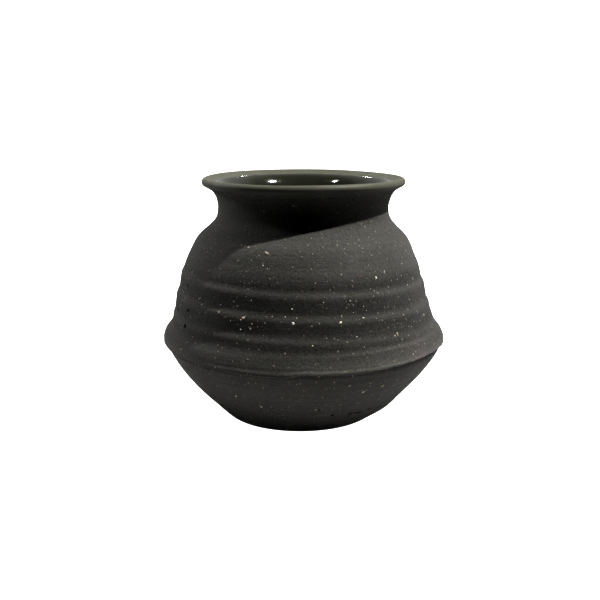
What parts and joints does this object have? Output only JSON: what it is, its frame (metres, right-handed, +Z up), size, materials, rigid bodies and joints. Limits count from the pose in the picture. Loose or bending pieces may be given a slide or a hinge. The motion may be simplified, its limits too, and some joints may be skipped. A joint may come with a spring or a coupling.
{
  "type": "stoneware vase",
  "caption": "Small round stoneware vase with a conical lower bowl, ridged belly, short neck and flared rounded lip, glazed inside, for flowers or dried stems.",
  "frame": {"origin": "centre of the flat foot's underside, on the pot's axis", "axes": "+Z up along the pot's axis, -Y towards the side seen in the picture, +X to its right"},
  "size_m": [0.12, 0.12, 0.1025],
  "materials": {
    "trimmed_clay": "matte unglazed charcoal stoneware, scraped smooth",
    "thrown_clay": "matte unglazed charcoal stoneware with fine throwing lines",
    "gloss_glaze": "gloss, near-black olive",
    "satin_glaze": "satin olive grey",
    "grit": "matte pale grit"
  },
  "bodies": {
    "root": {"lower_bowl": "trimmed_clay", "upper_wall": "thrown_clay", "neck_collar": "thrown_clay", "interior_glaze": "gloss_glaze", "rim_glaze": "satin_glaze", "grog_grains": "grit"}
  },
  "joints": []
}
